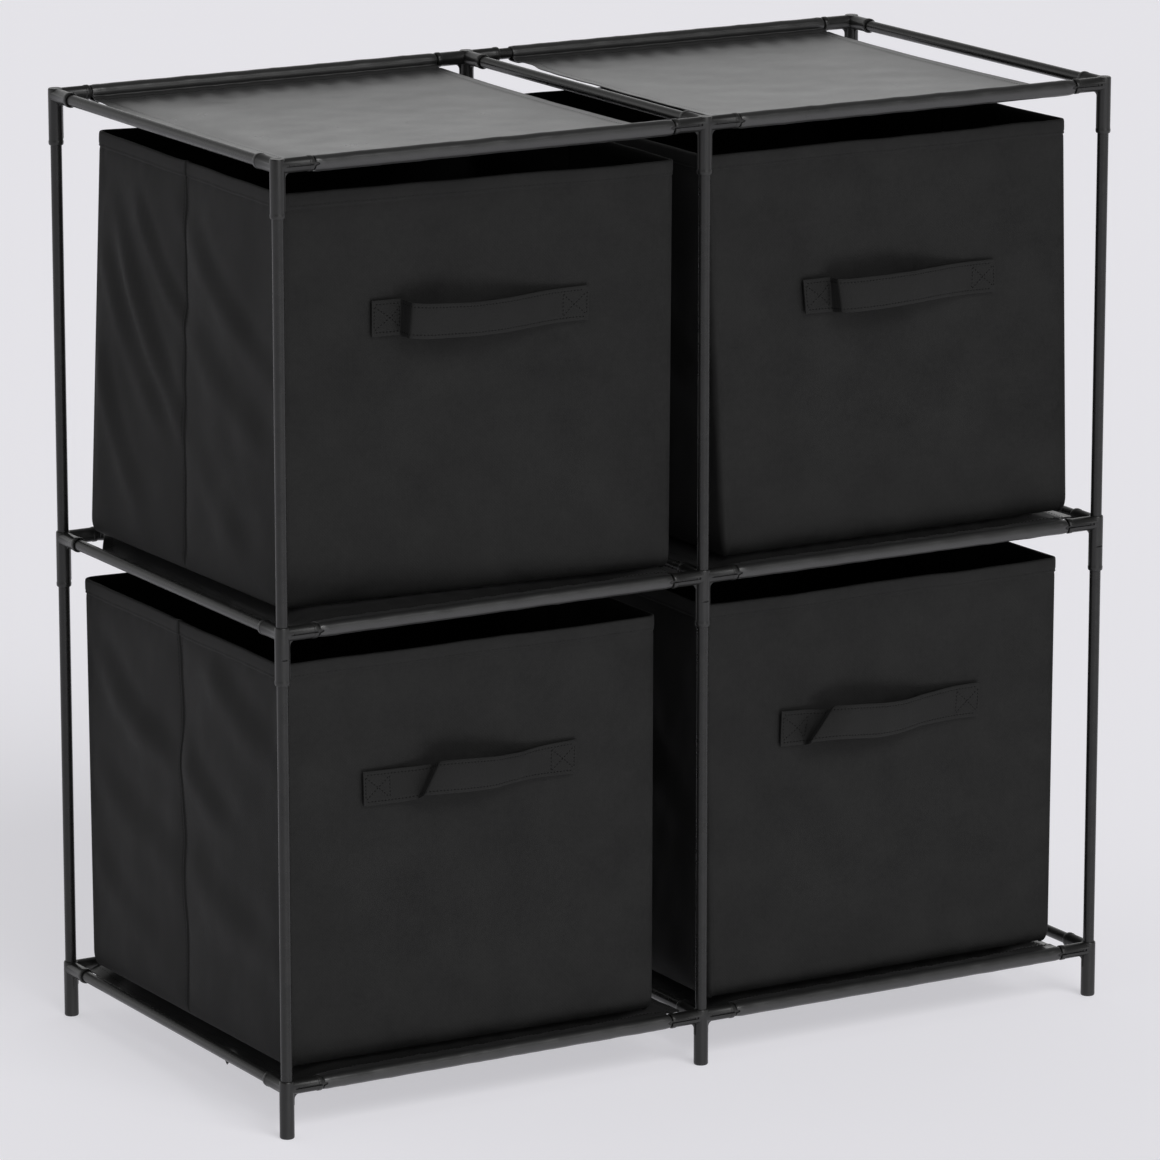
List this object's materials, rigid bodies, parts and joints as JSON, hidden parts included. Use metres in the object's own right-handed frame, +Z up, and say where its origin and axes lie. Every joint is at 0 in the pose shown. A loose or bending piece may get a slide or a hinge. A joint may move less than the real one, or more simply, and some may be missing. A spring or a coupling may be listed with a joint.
{
  "type": "cube storage unit",
  "caption": "Open shelving unit of thin black steel tubes and plastic connectors, with fabric decks and pull-out fabric boxes with strap handles.",
  "frame": {"origin": "centre of the six feet on the floor, the middle of the bounding box's bottom", "axes": "+Z up, -Y to the front where the boxes pull out, +X to the right as seen from the front"},
  "size_m": [0.6504, 0.3304, 0.6557],
  "materials": {
    "tube_steel": "satin",
    "connector_plastic": "satin",
    "deck_fabric": "matte",
    "box_fabric": "matte",
    "strap_webbing": "matte"
  },
  "bodies": {
    "frame": {"post_front_left": "tube_steel", "post_back_left": "tube_steel", "post_front_middle": "tube_steel", "post_back_middle": "tube_steel", "post_front_right": "tube_steel", "post_back_right": "tube_steel", "rail_front_left_bottom": "tube_steel", "rail_front_right_bottom": "tube_steel", "rail_back_left_bottom": "tube_steel", "rail_back_right_bottom": "tube_steel", "side_rail_left_bottom": "tube_steel", "side_rail_middle_bottom": "tube_steel", "side_rail_right_bottom": "tube_steel", "rail_front_left_mid": "tube_steel", "rail_front_right_mid": "tube_steel", "rail_back_left_mid": "tube_steel", "rail_back_right_mid": "tube_steel", "side_rail_left_mid": "tube_steel", "side_rail_middle_mid": "tube_steel", "side_rail_right_mid": "tube_steel", "rail_front_left_top": "tube_steel", "rail_front_right_top": "tube_steel", "rail_back_left_top": "tube_steel", "rail_back_right_top": "tube_steel", "side_rail_left_top": "tube_steel", "side_rail_middle_top": "tube_steel", "side_rail_right_top": "tube_steel", "connector_front_left_bottom": "connector_plastic", "connector_back_left_bottom": "connector_plastic", "connector_front_middle_bottom": "connector_plastic", "connector_back_middle_bottom": "connector_plastic", "connector_front_right_bottom": "connector_plastic", "connector_back_right_bottom": "connector_plastic", "connector_front_left_mid": "connector_plastic", "connector_back_left_mid": "connector_plastic", "connector_front_middle_mid": "connector_plastic", "connector_back_middle_mid": "connector_plastic", "connector_front_right_mid": "connector_plastic", "connector_back_right_mid": "connector_plastic", "connector_front_left_top": "connector_plastic", "connector_back_left_top": "connector_plastic", "connector_front_middle_top": "connector_plastic", "connector_back_middle_top": "connector_plastic", "connector_front_right_top": "connector_plastic", "connector_back_right_top": "connector_plastic", "deck_left_bottom": "deck_fabric", "deck_right_bottom": "deck_fabric", "deck_left_mid": "deck_fabric", "deck_right_mid": "deck_fabric", "deck_left_top": "deck_fabric", "deck_right_top": "deck_fabric"},
    "drawer_upper_left": {"box_upper_left": "box_fabric", "handle_upper_left": "strap_webbing"},
    "drawer_upper_right": {"box_upper_right": "box_fabric", "handle_upper_right": "strap_webbing"},
    "drawer_lower_left": {"box_lower_left": "box_fabric", "handle_lower_left": "strap_webbing"},
    "drawer_lower_right": {"box_lower_right": "box_fabric", "handle_lower_right": "strap_webbing"}
  },
  "joints": [
    {"name": "pull_upper_left", "type": "slide", "parent": "frame", "child": "drawer_upper_left", "axis": [0, -1, 0], "range_m": [0, 0.31]},
    {"name": "pull_upper_right", "type": "slide", "parent": "frame", "child": "drawer_upper_right", "axis": [0, -1, 0], "range_m": [0, 0.31]},
    {"name": "pull_lower_left", "type": "slide", "parent": "frame", "child": "drawer_lower_left", "axis": [0, -1, 0], "range_m": [0, 0.31]},
    {"name": "pull_lower_right", "type": "slide", "parent": "frame", "child": "drawer_lower_right", "axis": [0, -1, 0], "range_m": [0, 0.31]}
  ]
}
